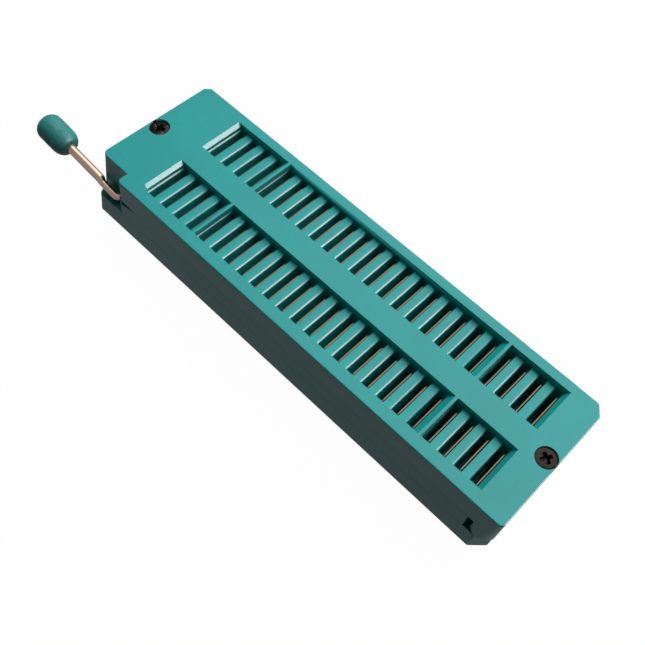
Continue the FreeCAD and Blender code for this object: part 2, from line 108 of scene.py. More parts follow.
class SocketSizes(bpy.types.PropertyGroup):
    """Sizes of the forms that the finish adds to the frame's solids"""

    slots: IntProperty(name="Slots", description="Slots in each of the two rows", default=24, min=2)
    pitch: length("Pitch", "Distance from one slot to the next", 2.54)
    slot_width: length("Slot width", "Width of a slot between two bars", 1.24)
    slot_inner: length(
        "Slot inner end", "Distance of the slots' inner end from the middle line", 1.92
    )
    slot_outer: length(
        "Slot outer end", "Distance of the slots' outer end from the middle line", 9.22
    )
    bar_bevel: length("Bar bevel", "Slope along the upper right edge of each bar", 0.18)
    bar_round: length("Bar edge", "Radius of the bars' moulded edges", 0.06)
    moulding_round: length("Moulding edge", "Radius of the edges of the big mouldings", 0.05)
    leaf_inner: length(
        "Leaf inner end", "Distance of a contact leaf's inner end from the middle line", 2.25
    )
    leaf_outer: length(
        "Leaf outer end", "Distance of a contact leaf's outer end from the middle line", 8.9
    )
    leaf_corner: length("Leaf corner", "Radius of a leaf's upper corners", 0.7)
    leaf_offset: length("Leaf offset", "Distance of a leaf from the middle of its slot", 0.42)
    strip: length("Strip", "Thickness of the contact strip", 0.25)
    pin_row: length("Pin row", "Distance of a row of solder tails from the middle line", 7.62)
    tail_width: length("Tail width", "Width of a solder tail", 0.6)
    rest_angle: FloatProperty(
        name="Rest angle", description="Slope of the arm at rest",
        default=math.radians(7.35), subtype="ANGLE",
    )
    rod_radius: length("Arm radius", "Radius of the lever's arm", 0.7)
    axle_radius: length("Axle radius", "Radius of the lever's neck and axle", 0.55)
    arm_shift: length("Arm shift", "How far the arm lies inside the neck's line", 0.17)
    arm_rise: length("Arm rise", "How far the arm lies above the neck's line", 0.19)
    neck_length: length("Neck length", "Distance of the neck's end from the axle", 3.2)
    neck_taper: length("Neck taper", "Length of the step from the neck to the arm", 1.2)
    bend_radius: length("Bend radius", "Radius of the lever's elbow", 0.7)
    knob_start: length("Knob start", "Distance of the knob's near end from the axle", 10.85)
    knob_length: length("Knob length", "Length of the knob along the arm", 6.05)
    knob_radius: length("Knob radius", "Radius of the knob", 2.1)
    knob_neck: length("Knob neck", "Radius of the knob's near end", 1.05)
    knob_dome: length("Knob dome", "Length of the dome at the knob's near end", 1.9)
    knob_end: length("Knob end", "Radius that rounds the knob's far end", 1.35)
    knob_seam: length("Knob seam", "Distance of the mould seam from the knob's near end", 2.2)
    seam_width: length("Seam width", "Width of the mould seam", 0.24)
    seam_depth: length("Seam depth", "Depth of the mould seam", 0.08)
    head_radius: length("Head radius", "Radius of a cover screw's head", 1.5)
    shank_radius: length("Shank radius", "Radius of a cover screw's shank", 0.8)
    recess_span: length("Recess span", "Half of the cross recess's span", 0.85)
    recess_slot: length("Recess slot", "Half of the width of a recess wing", 0.26)
    recess_depth: length("Recess depth", "Depth of the cross recess", 0.9)


class SocketFinish(bpy.types.PropertyGroup):
    """Colours of the finishes"""

    cover: colour("Cover", "Colour of the top cover's moulding", (0.014, 0.47, 0.455))
    slider: colour("Slider", "Colour of the slider's moulding", (0.014, 0.47, 0.455))
    base: colour("Base", "Colour of the base's moulding", (0.014, 0.4, 0.395))
    knob: colour("Knob", "Colour of the knob's moulding", (0.035, 0.35, 0.33))
    lever: colour("Lever", "Colour of the lever's plated wire", (0.5, 0.36, 0.28))
    screw: colour("Screw", "Colour of the screws", (0.009, 0.0065, 0.005))
    contact: colour("Contact", "Colour of the contact leaves", (0.11, 0.08, 0.045))


class SocketStage(bpy.types.PropertyGroup):
    """Camera, lamps, surroundings and floor"""

    camera_place: position(
        "Camera", "Place of the camera", (35.03 * MM, -53.85 * MM, 105.92 * MM)
    )
    camera_target: position(
        "Target", "Point on the cover that the camera looks at", (1.84 * MM, -6.52 * MM, 11.15 * MM)
    )
    camera_roll: FloatProperty(
        name="Roll", description="Turn of the camera about its own axis",
        default=math.radians(10.46), subtype="ANGLE",
    )
    lens: number("Lens", "Focal length on a 36 mm sensor", 48.23)
    key_place: position("Key lamp", "Place of the key lamp", (-0.05, 0.39, 0.64))
    key_size: length("Key size", "Side of the key lamp", 750)
    key_power: number("Key power", "Power of the key lamp", 5.35)
    ambient: number("Ambient", "Light from all around", 0.004)
    sky: number("Sky", "White that reflections see on the sky", 0.6)
    window_place: position(
        "Window", "Place of the bright window, low on the far right", (0.63, 0.34, 0.34)
    )
    window_size: length("Window size", "Side of the window", 450)
    window_power: number("Window power", "Power of the window, which only reflections see", 29.0)
    floor_size: length("Floor", "Side of the floor", 3000)
    floor_colour: colour("Floor", "Colour of the floor under its glow", (0.012, 0.012, 0.012))
    floor_glow: number("Floor glow", "White that the camera sees on the floor", 0.985)
    shine_size: length("Shine size", "Side of the bright panel on the floor", 800)
    shine_power: number("Shine power", "Power of that panel, which only reflections see", 1.0)


class Link:
    """Output of a node that a formula can use: each operation adds its own maths node"""

    def __init__(self, graph, socket):
        self.graph = graph
        self.socket = socket

    def maths(self, operation, first, second):
        """Result of a maths node on two values."""
        return self.graph.node("ShaderNodeMath", {"operation": operation}, {0: first, 1: second})

    def __add__(self, other):
        return self.maths("ADD", self, other)

    def __radd__(self, other):
        return self.maths("ADD", other, self)

    def __sub__(self, other):
        return self.maths("SUBTRACT", self, other)

    def __rsub__(self, other):
        return self.maths("SUBTRACT", other, self)

    def __mul__(self, other):
        return self.maths("MULTIPLY", self, other)

    def __rmul__(self, other):
        return self.maths("MULTIPLY", other, self)

    def __neg__(self):
        return self.maths("MULTIPLY", self, -1)


class Graph:
    """Node tree that is filled one node at a time"""

    def __init__(self, tree):
        self.tree = tree

    def node(self, kind, settings=None, sockets=None, output=0):
        """Adds a node with its settings and then its sockets, and gives the link of one output."""
        made = self.tree.nodes.new(kind)
        for name, value in (settings or {}).items():
            if name == "stops":
                self.set_stops(made.color_ramp, value)
            else:
                setattr(made, name, value)
        for key, value in (sockets or {}).items():
            for part in value if isinstance(value, list) else [value]:
                self.fill(made.inputs[key], part)
        return Link(self, made.outputs[output] if made.outputs else None)

    def fill(self, socket, value):
        """Links a socket, gives it a plain value, or leaves it as it is."""
        if isinstance(value, Link):
            self.tree.links.new(value.socket, socket)
        elif value is not None:
            socket.default_value = value

    def set_stops(self, ramp, stops):
        """Gives a colour ramp its stops, as (place, grey) pairs."""
        while len(ramp.elements) < len(stops):
            ramp.elements.new(1)
        for element, (place, grey) in zip(ramp.elements, stops):
            element.position = place
            element.color = (grey, grey, grey, 1)

    def mix(self, factor, first, second):
        """Blend of two colours."""
        sockets = {0: factor, 6: first, 7: second}
        return self.node("ShaderNodeMix", {"data_type": "RGBA"}, sockets, 2)

    def vector(self, x, y, z):
        """Vector made of three numbers."""
        return self.node("ShaderNodeCombineXYZ", {}, {0: x, 1: y, 2: z})


def tinted(values, share):
    """Colour with each part multiplied by a share, as the four numbers that a socket takes."""
    return tuple(min(1, part * share) for part in values) + (1,)


def empty_material(name):
    """Material without nodes, and the graph that fills it."""
    material = bpy.data.materials.new(name)
    material.use_nodes = True
    material.node_tree.nodes.clear()
    return material, Graph(material.node_tree)


def set_surface(graph, sockets):
    """Ends a material in a surface shader, with values or links for its sockets."""
    shader = graph.node("ShaderNodeBsdfPrincipled", {}, sockets)
    graph.node("ShaderNodeOutputMaterial", {}, {"Surface": shader})


def object_place(graph):
    """Place on the object, in metres."""
    return graph.node("ShaderNodeTexCoord", output="Object")


def noise(graph, place, scale, detail=2, roughness=0.5):
    """Cloudy value between zero and one, whose grain is 1 / scale metres."""
    sockets = {"Vector": place, "Scale": scale, "Detail": detail, "Roughness": roughness}
    return graph.node("ShaderNodeTexNoise", {}, sockets)


def stretch(graph, place, scale):
    """Place with each axis scaled, so that a pattern runs along one of them."""
    return graph.node("ShaderNodeMapping", {}, {"Vector": place, "Scale": scale})


def mask_between(graph, value, start, end):
    """Mask that rises from zero to one as a value goes from its start to its end."""
    return graph.node("ShaderNodeValToRGB", {"stops": [(start, 0), (end, 1)]}, {"Fac": value})


def bump(graph, height, strength, distance):
    """Normal of a surface that a height pushes out."""
    sockets = {"Height": height, "Strength": strength, "Distance": distance}
    return graph.node("ShaderNodeBump", {}, sockets)


def moulded_plastic(name, base, roughness):
    """Satin moulding compound: soft flow marks, fine grain and a few pale fibres."""
    middle = 0.5
    grain_reach = 0.16
    flow_reach = 0.12
    fibre_strength = 0.35
    material, graph = empty_material(name)
    place = object_place(graph)
    flow = noise(graph, place, 110, detail=3, roughness=0.6)
    grain = noise(graph, place, 2600, detail=3, roughness=0.6)
    fibre = noise(graph, stretch(graph, place, (1, 3.5, 1)), 1500, detail=1)
    fibre_mask = mask_between(graph, fibre, 0.66, 0.74)
    body = graph.mix(flow * 0.6 + grain * 0.4, tinted(base, 0.78), tinted(base, 1.22))
    pale = tuple(0.8 * part + 0.06 for part in base) + (1,)
    set_surface(graph, {
        "Base Color": graph.mix(fibre_mask * fibre_strength, body, pale),
        "Roughness": (grain - middle) * grain_reach + (flow - middle) * flow_reach + roughness,
        "IOR": 1.36,
        "Normal": bump(graph, grain * 0.7 + flow * 0.3, strength=0.05, distance=0.02 * MM),
    })
    return material


def plated_wire(name, base):
    """Drawn wire with a warm plate: lines along the wire and a dull haze in patches."""
    material, graph = empty_material(name)
    place = object_place(graph)
    lines = noise(graph, stretch(graph, place, (0.04, 1, 1)), 1800, roughness=0.6)
    haze = noise(graph, place, 420, detail=3, roughness=0.6)
    set_surface(graph, {
        "Base Color": graph.mix(haze * 0.3 + lines * 0.7, tinted(base, 0.45), tinted(base, 1.4)),
        "Metallic": 1.0,
        "Roughness": lines * 0.12 + haze * 0.14 + 0.2,
        "Normal": bump(graph, lines, strength=0.25, distance=0.01 * MM),
    })
    return material


def dark_steel(name, base):
    """Dark brown plating with small bright spots that stand for wear and for painted glints."""
    material, graph = empty_material(name)
    wear_and_glints = noise(graph, object_place(graph), 1500, detail=3, roughness=0.65)
    wear_and_glint_spots = mask_between(graph, wear_and_glints, 0.6, 0.75)
    set_surface(graph, {
        # The spots lift the base colour ninefold: partly wear, partly painted glints that stand in
        # for reflections.
        "Base Color": graph.mix(wear_and_glint_spots, tinted(base, 1), tinted(base, 9)),
        "Metallic": 0.85,
        "Roughness": wear_and_glints * 0.2 + 0.12,
        "Normal": bump(graph, wear_and_glints, strength=0.4, distance=0.02 * MM),
    })
    return material


def gilt_strip(name, base):
    """Stamped strip with a thin gilt flash, rolling lines and faint stains."""
    material, graph = empty_material(name)
    place = object_place(graph)
    lines = noise(graph, stretch(graph, place, (1, 0.08, 1)), 6000, roughness=0.6)
    stain = noise(graph, place, 300)
    set_surface(graph, {
        "Base Color": graph.mix(stain * 0.7 + lines * 0.3, tinted(base, 0.7), tinted(base, 1.2)),
        "Metallic": 0.9,
        "Roughness": lines * 0.2 + 0.24,
        "Normal": bump(graph, lines, strength=0.2, distance=0.01 * MM),
    })
    return material


def by_ray(graph, direct, mirrored, rest):
    """One value on rays straight from the camera, one on mirrored rays and one on all the rest."""
    camera = graph.node("ShaderNodeLightPath", output="Is Camera Ray")
    glossy = graph.node("ShaderNodeLightPath", output="Is Glossy Ray")
    return camera * direct + (1 - camera) * (glossy * mirrored + (1 - glossy) * rest)


def studio_floor(name, base, glow):
    """Floor that the camera sees as white and that throws almost no light on the object."""
    material, graph = empty_material(name)
    speck = noise(graph, object_place(graph), 60)
    ground = graph.mix(speck, tinted(base, 0.98), tinted(base, 1.02))
    plain = graph.node("ShaderNodeBsdfDiffuse", {}, {"Color": ground})
    strength = by_ray(graph, direct=glow, mirrored=0, rest=0)
    white = graph.node("ShaderNodeEmission", {}, {"Strength": strength})
    both = graph.node("ShaderNodeAddShader", {}, {0: plain, 1: white})
    graph.node("ShaderNodeOutputMaterial", {}, {"Surface": both})
    return material


def new_tree(name, sockets):
    """Graph of a new geometry tree with one geometry output, and the links of its named inputs."""
    tree = bpy.data.node_groups.new(name, "GeometryNodeTree")
    tree.is_modifier = True
    for title, kind in sockets.items():
        tree.interface.new_socket(title, in_out="INPUT", socket_type=kind)
    tree.interface.new_socket("Geometry", in_out="OUTPUT", socket_type="NodeSocketGeometry")
    graph = Graph(tree)
    return graph, {title: graph.node("NodeGroupInput", output=title) for title in sockets}


def finish_tree(graph, geometry, material):
    """Ends a geometry tree in real geometry with its material, and gives the tree."""
    real = graph.node("GeometryNodeRealizeInstances", {}, {0: geometry})
    painted = graph.node("GeometryNodeSetMaterial", {}, {"Geometry": real, "Material": material})
    graph.node("NodeGroupOutput", {}, {0: painted})
    return graph.tree


def points_along_x(graph, given, first, sideways):
    """Row of points a pitch apart, from the X of the first one."""
    return graph.node("GeometryNodeMeshLine", {"mode": "OFFSET"}, {
        "Count": given["Count"],
        "Start Location": graph.vector(first, sideways, 0),
        "Offset": graph.vector(given["Pitch"], 0, 0),
    })


def repeat_tree():
    """Tree that repeats a shape along X about a middle, each copy a little shifted and turned."""
    graph, given = new_tree("repeat_along_x", {
        "Geometry": "NodeSocketGeometry",
        "Count": "NodeSocketInt",
        "Pitch": "NodeSocketFloat",
        "Middle": "NodeSocketFloat",
        "Across": "NodeSocketFloat",
        "Shift": "NodeSocketFloat",
        "Turn": "NodeSocketFloat",
        "Seed": "NodeSocketInt",
        "Material": "NodeSocketMaterial",
    })
    first = given["Middle"] - given["Pitch"] * (given["Count"] - 1) * 0.5
    points = points_along_x(graph, given, first, given["Across"])
    shift = random_between(graph, given["Shift"], given["Seed"])
    points = graph.node("GeometryNodeSetPosition", {}, {
        "Geometry": points,
        "Offset": graph.vector(shift, 0, shift),
    })
    turn = random_between(graph, given["Turn"], given["Seed"] + 1)
    copies = graph.node("GeometryNodeInstanceOnPoints", {}, {
        "Points": points,
        "Instance": given["Geometry"],
        "Rotation": graph.vector(0, 0, turn),
    })
    return finish_tree(graph, copies, given["Material"])


def random_between(graph, reach, seed):
    """Random number from minus a reach to plus that reach."""
    sockets = {2: -reach, 3: reach, 8: seed}
    return graph.node("FunctionNodeRandomValue", {"data_type": "FLOAT"}, sockets, 1)


def bar_tree():
    """Tree that sweeps a bar's outline across both rows and repeats it along X."""
    graph, given = new_tree("slider_bars", {
        "Geometry": "NodeSocketGeometry",
        "Count": "NodeSocketInt",
        "Pitch": "NodeSocketFloat",
        "Inner": "NodeSocketFloat",
        "Outer": "NodeSocketFloat",
        "Round": "NodeSocketFloat",
        "Material": "NodeSocketMaterial",
    })
    outline = graph.node("GeometryNodeMeshToCurve", {}, {0: given["Geometry"]})
    outline = graph.node("GeometryNodeFilletCurve", {"mode": "POLY"}, {
        "Curve": outline,
        "Radius": given["Round"],
        "Count": 3,
        "Limit Radius": True,
    })
    front = row_line(graph, -given["Outer"], -given["Inner"])
    back = row_line(graph, given["Inner"], given["Outer"])
    lines = graph.node("GeometryNodeJoinGeometry", {}, {0: [front, back]})
    lines = graph.node("GeometryNodeSetCurveNormal", {"mode": "Z_UP"}, {0: lines})
    pair = graph.node("GeometryNodeCurveToMesh", {}, {
        "Curve": lines,
        "Profile Curve": outline,
        "Fill Caps": True,
    })
    first = given["Pitch"] * (given["Count"] - 1) * -0.5
    points = points_along_x(graph, given, first, 0)
    copies = graph.node("GeometryNodeInstanceOnPoints", {}, {"Points": points, "Instance": pair})
    return finish_tree(graph, copies, given["Material"])


def row_line(graph, start, end):
    """Straight line across one row, between two distances from the middle line."""
    return graph.node("GeometryNodeCurvePrimitiveLine", {}, {
        "Start": graph.vector(0, start, 0),
        "End": graph.vector(0, end, 0),
    })


def rod_tree():
    """Tree that sweeps a round section along a path, as thick as each point's radius says."""
    graph, given = new_tree("swept_rod", {
        "Geometry": "NodeSocketGeometry",
        "Sides": "NodeSocketInt",
        "Material": "NodeSocketMaterial",
    })
    section = graph.node("GeometryNodeCurvePrimitiveCircle", {"mode": "RADIUS"}, {
        "Resolution": given["Sides"],
        "Radius": 1.0,
    })
    tube = graph.node("GeometryNodeCurveToMesh", {}, {
        "Curve": given["Geometry"],
        "Profile Curve": section,
        "Scale": graph.node("GeometryNodeInputRadius"),
        "Fill Caps": True,
    })
    return finish_tree(graph, tube, given["Material"])


def run_tree(obj, tree, values):
    """Runs a geometry tree on an object and leaves the result as its plain mesh."""
    modifier = obj.modifiers.new("build", "NODES")
    modifier.node_group = tree
    for item in tree.interface.items_tree:
        if item.in_out == "INPUT" and item.name in values:
            modifier[item.identifier] = values[item.name]
    return bake_modifiers(obj)


def bake_modifiers(obj):
    """Turns an object and its modifiers into a new object with a plain mesh."""
    depsgraph = bpy.context.evaluated_depsgraph_get()
    mesh = bpy.data.meshes.new_from_object(obj.evaluated_get(depsgraph))
    name = obj.name
    bpy.data.objects.remove(obj)
    made = bpy.data.objects.new(name, mesh)
    mesh.name = name
    bpy.context.scene.collection.objects.link(made)
    return made


def add_mesh(name, build):
    """New object whose mesh a function fills."""
    mesh = bpy.data.meshes.new(name)
    shape = bmesh.new()
    build(shape)
    shape.to_mesh(mesh)
    shape.free()
    obj = bpy.data.objects.new(name, mesh)
    bpy.context.scene.collection.objects.link(obj)
    return obj


def node_copy(node, name):
    """Clean copy of a frame node's mesh: joined corners and flat faces in one piece."""

    def build(shape):
        shape.from_mesh(frame["nodes"][node].data)
        bmesh.ops.remove_doubles(shape, verts=shape.verts, dist=0.0005 * MM)
        bmesh.ops.dissolve_limit(
            shape, angle_limit=math.radians(0.5), verts=shape.verts, edges=shape.edges
        )

    return add_mesh(name, build)


def soften(obj, radius, segments=3):
    """Rounds the sharp edges of a moulding, evens its shading and leaves a plain mesh."""
    bevel = obj.modifiers.new("edges", "BEVEL")
    bevel.width = radius
    bevel.segments = segments
    bevel.limit_method = "ANGLE"
    bevel.angle_limit = math.radians(34)
    bevel.use_clamp_overlap = True
    obj.data.shade_smooth()
    normals = obj.modifiers.new("normals", "WEIGHTED_NORMAL")
    normals.keep_sharp = True
    return bake_modifiers(obj)


def cut_with(obj, cutter):
    """Cuts one object out of another."""
    cut = obj.modifiers.new("cut", "BOOLEAN")
    cut.operation = "DIFFERENCE"
    cut.solver = "EXACT"
    cut.object = cutter
    made = bake_modifiers(obj)
    bpy.data.objects.remove(cutter)
    return made


def add_box(shape, low, high):
    """Adds a box between two corners to a mesh."""
    made = bmesh.ops.create_cube(shape, size=1)
    middle = (low + high) / 2
    size = high - low
    for vert in made["verts"]:
        vert.co = Vector(unit * span + centre for unit, span, centre in zip(vert.co, size, middle))


def turn_outline(shape, points, axis, steps):
    """Turns an open outline about an axis through the origin into a closed form."""
    verts = [shape.verts.new(point) for point in points]
    edges = [shape.edges.new(pair) for pair in zip(verts, verts[1:])]
    bmesh.ops.spin(
        shape, geom=verts + edges, cent=(0, 0, 0), axis=axis, angle=2 * math.pi, steps=steps
    )
    bmesh.ops.remove_doubles(shape, verts=shape.verts, dist=0.001 * MM)
    bmesh.ops.recalc_face_normals(shape, faces=shape.faces)


def settle(obj, body, replaced):
    """Puts a finished piece on its body and in place of the nodes that it replaces."""
    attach(obj, body)
    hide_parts(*replaced)


def paint(obj, material):
    """Gives the whole of an object one material."""
    obj.data.materials.clear()
    obj.data.materials.append(material)


class SOCKET_OT_base(bpy.types.Operator):
    """Base plate with its contact cells, its edges rounded"""

    bl_idname = "socket.base"
    bl_label = "Base"

    def execute(self, context):
        obj = node_copy("base_housing", "base_moulding")
        obj = soften(obj, context.scene.socket_sizes.moulding_round)
        paint(obj, moulded_plastic("base_plastic", context.scene.socket_finish.base, 0.46))
        settle(obj, "housing", ["base_housing"])
        return {"FINISHED"}


class SOCKET_OT_cover(bpy.types.Operator):
    """Top cover with its windows and ribs, its edges rounded"""

    bl_idname = "socket.cover"
    bl_label = "Cover"

    def execute(self, context):
        obj = node_copy("top_cover", "cover_moulding")
        obj = soften(obj, context.scene.socket_sizes.moulding_round)
        paint(obj, moulded_plastic("cover_plastic", context.scene.socket_finish.cover, 0.42))
        settle(obj, "housing", ["top_cover"])
        return {"FINISHED"}


class SOCKET_OT_slider(bpy.types.Operator):
    """Slider without its bars: band, rails, end blocks and crank tabs"""

    bl_idname = "socket.slider"
    bl_label = "Slider frame"

    def execute(self, context):
        sizes = context.scene.socket_sizes
        low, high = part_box("slider")
        reach = (sizes.slots - 1) / 2 * sizes.pitch
        clear = 1 * MM
        overcut = 0.01 * MM

        def build(shape):
            for side in SIDES:
                inner = side * (sizes.slot_inner - overcut)
                outer = side * (sizes.slot_outer + overcut)
                corner = Vector((-reach, min(inner, outer), low.z - clear))
                add_box(shape, corner, Vector((reach, max(inner, outer), high.z + clear)))

        obj = cut_with(node_copy("slider", "slider_frame"), add_mesh("bar_field", build))
        obj = soften(obj, sizes.bar_round / 2)
        paint(obj, moulded_plastic("slider_plastic", context.scene.socket_finish.slider, 0.46))
        settle(obj, "slider", ["slider"])
        return {"FINISHED"}


class SOCKET_OT_bars(bpy.types.Operator):
    """Bars of the slider, swept across both rows and repeated along them"""

    bl_idname = "socket.bars"
    bl_label = "Slider bars"

    def execute(self, context):
        sizes = context.scene.socket_sizes
        low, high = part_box("slider")
        half = (sizes.pitch - sizes.slot_width) / 2
        bite = 0.03 * MM
        points = [
            (-half, low.z),
            (half, low.z),
            (half, high.z - sizes.bar_bevel),
            (half - sizes.bar_bevel, high.z),
            (-half, high.z),
        ]

        def build(shape):
            verts = [shape.verts.new((x, -z, 0)) for x, z in points]
            for pair in zip(verts, verts[1:] + verts[:1]):
                shape.edges.new(pair)

        finish = moulded_plastic("bar_plastic", context.scene.socket_finish.slider, 0.46)
        obj = run_tree(add_mesh("slider_bars", build), bar_tree(), {
            "Count": sizes.slots - 1,
            "Pitch": sizes.pitch,
            "Inner": sizes.slot_inner - bite,
            "Outer": sizes.slot_outer + bite,
            "Round": sizes.bar_round,
            "Material": finish,
        })
        obj.data.set_sharp_from_angle(angle=math.radians(40))
        settle(obj, "slider", ["slider"])
        return {"FINISHED"}


class SOCKET_OT_contacts(bpy.types.Operator):
    """Spring leaves with their solder tails, one for each slot"""

    bl_idname = "socket.contacts"
    bl_label = "Contacts"

    def execute(self, context):
        sizes = context.scene.socket_sizes
        low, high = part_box("contact_back_12")
        root = 0.8 * MM
        shoulder = 1.8 * MM
        bend_low = 2.2 * MM
        bend_high = 3.65 * MM
        lean_start = high.z - 1.1 * MM
        lean = 0.06 * MM
        point = 0.4 * MM
        tip = 0.15 * MM
        half = sizes.tail_width / 2
        corner = sizes.leaf_corner
        arc_steps = 6

        def rounded_corner(middle_y, middle_z, start):
            """Points of a quarter round that begins at an angle."""
            points = []
            for step in range(arc_steps + 1):
                angle = start + step / arc_steps * math.pi / 2
                y = middle_y + corner * math.cos(angle)
                points.append((y, middle_z + corner * math.sin(angle)))
            return points

        outline = [
            (sizes.pin_row - tip, low.z),
            (sizes.pin_row + tip, low.z),
            (sizes.pin_row + half, low.z + point),
            (sizes.pin_row + half, root),
            (sizes.leaf_outer, root),
        ]
        outline += rounded_corner(sizes.leaf_outer - corner, high.z - corner, 0)
        outline += rounded_corner(sizes.leaf_inner + corner, high.z - corner, math.pi / 2)
        outline += [
            (sizes.leaf_inner, shoulder),
            (sizes.leaf_inner + shoulder - root, root),
            (sizes.pin_row - half, root),
            (sizes.pin_row - half, low.z + point),
        ]

        def lean_at(z):
            """Distance of the strip from the middle of its slot at a height."""
            if z > lean_start:
                return sizes.leaf_offset - lean * (z - lean_start) / (high.z - lean_start)
            if z > bend_high:
                return sizes.leaf_offset
            return sizes.leaf_offset * max(0, (z - bend_low) / (bend_high - bend_low))

        def build(shape):
            for side in SIDES:
                shape.faces.new([shape.verts.new((0, side * y, z)) for y, z in outline])
            for z in (bend_low, bend_high, lean_start):
                everything = shape.verts[:] + shape.edges[:] + shape.faces[:]
                bmesh.ops.bisect_plane(
                    shape, geom=everything, plane_co=(0, 0, z), plane_no=(0, 0, 1), dist=0.0001 * MM
                )
            for vert in shape.verts:
                vert.co.x = lean_at(vert.co.z)
            for face in shape.faces:
                face.normal_update()
                if face.normal.x < 0:
                    face.normal_flip()

        obj = add_mesh("contact_pair", build)
        wall = obj.modifiers.new("strip", "SOLIDIFY")
        wall.thickness = sizes.strip
        wall.offset = 0
        edges = obj.modifiers.new("edges", "BEVEL")
        edges.width = 0.05 * MM
        edges.segments = 2
        edges.limit_method = "ANGLE"
        edges.angle_limit = math.radians(50)
        obj = bake_modifiers(obj)
        obj.name = "contacts"
        obj = run_tree(obj, repeat_tree(), {
            "Count": sizes.slots,
            "Pitch": sizes.pitch,
            "Middle": 0.0,
            "Across": 0.0,
            "Shift": 0.02 * MM,
            "Turn": 0.0,
            "Seed": 7,
            "Material": gilt_strip("gilt_contact", context.scene.socket_finish.contact),
        })
        names = [f"contact_{row}_{i + 1:02d}" for row in ROWS for i in range(sizes.slots)]
        settle(obj, "housing", names)
        return {"FINISHED"}


def arm_direction(sizes):
    """Direction along the arm at rest, from the axle out to the knob."""
    return Vector((-math.cos(sizes.rest_angle), 0, math.sin(sizes.rest_angle)))


def neck_corner(sizes):
    """Point where the neck's line meets the axle's line."""
    knob_low, knob_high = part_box("lever_knob")
    neck_y = (knob_low.y + knob_high.y) / 2 - sizes.arm_shift
    return Vector((axle_place.x, neck_y, axle_place.z))


def arm_point(sizes, distance, share=1):
    """Point along the lever, set off from the neck's line by a share of the arm's offset."""
    along = arm_direction(sizes)
    offset = ACROSS * sizes.arm_shift + ACROSS.cross(along) * sizes.arm_rise
    return neck_corner(sizes) + along * distance + offset * share


class SOCKET_OT_lever(bpy.types.Operator):
    """Lever bent from one wire: arm, neck, elbow and cranked axle"""

    bl_idname = "socket.lever"
    bl_label = "Lever"

    def execute(self, context):
        sizes = context.scene.socket_sizes
        wire = self.add_wire(self.arm(sizes) + self.elbow(sizes) + self.cranked_axle(sizes))
        obj = run_tree(wire, rod_tree(), {
            "Sides": 40,
            "Material": plated_wire("lever_plate", context.scene.socket_finish.lever),
        })
        obj.data.shade_smooth()
        obj.data.set_sharp_from_angle(angle=math.radians(40))
        settle(obj, "lever", ["lever_rod"])
        return {"FINISHED"}

    def arm(self, sizes):
        """Places and radii from inside the knob to the step down to the neck."""
        bore = 4.55 * MM
        steps = 8
        points = [(arm_point(sizes, sizes.knob_start + bore), sizes.rod_radius)]
        for step in range(steps + 1):
            share = 0.5 + 0.5 * math.cos(step / steps * math.pi)
            distance = sizes.neck_length + sizes.neck_taper * (1 - step / steps)
            radius = sizes.axle_radius + (sizes.rod_radius - sizes.axle_radius) * share
            points.append((arm_point(sizes, distance, share), radius))
        return points

    def elbow(self, sizes):
        """Places and radii round the bend from the neck to the axle."""
        steps = 14
        along = arm_direction(sizes)
        bend = sizes.bend_radius
        centre = neck_corner(sizes) + along * bend + ACROSS * bend
        points = []
        for step in range(steps + 1):
            angle = step / steps * math.pi / 2
            place = centre - along * bend * math.sin(angle) - ACROSS * bend * math.cos(angle)
            points.append((place, sizes.axle_radius))
        return points

    def cranked_axle(self, sizes):
        """Places and radii along the axle, which has two cranked lengths."""
        lean = math.radians(41.5)
        throw = 0.604 * MM
        spread = 5 * MM
        half_length = 1.65 * MM
        ramp = 0.3 * MM
        crank = Vector((-math.sin(lean), 0, math.cos(lean))) * throw
        points = []
        for middle in (-spread, spread):
            for y, share in (
                (middle - half_length - ramp, 0),
                (middle - half_length, 1),
                (middle + half_length, 1),
                (middle + half_length + ramp, 0),
            ):
                place = Vector((axle_place.x, y, axle_place.z)) + crank * share
                points.append((place, sizes.axle_radius))
        axle_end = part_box("lever_rod")[1].y
        points.append((Vector((axle_place.x, axle_end, axle_place.z)), sizes.axle_radius))
        return points

    def add_wire(self, points):
        """New curve through the places, with the radii that its section takes."""
        curve = bpy.data.curves.new("lever_wire", "CURVE")
        curve.dimensions = "3D"
        spline = curve.splines.new("POLY")
        spline.points.add(len(points) - 1)
        for point, (place, radius) in zip(spline.points, points):
            point.co = (*place, 1)
            point.radius = radius
        obj = bpy.data.objects.new("lever_wire", curve)
        bpy.context.scene.collection.objects.link(obj)
        return obj


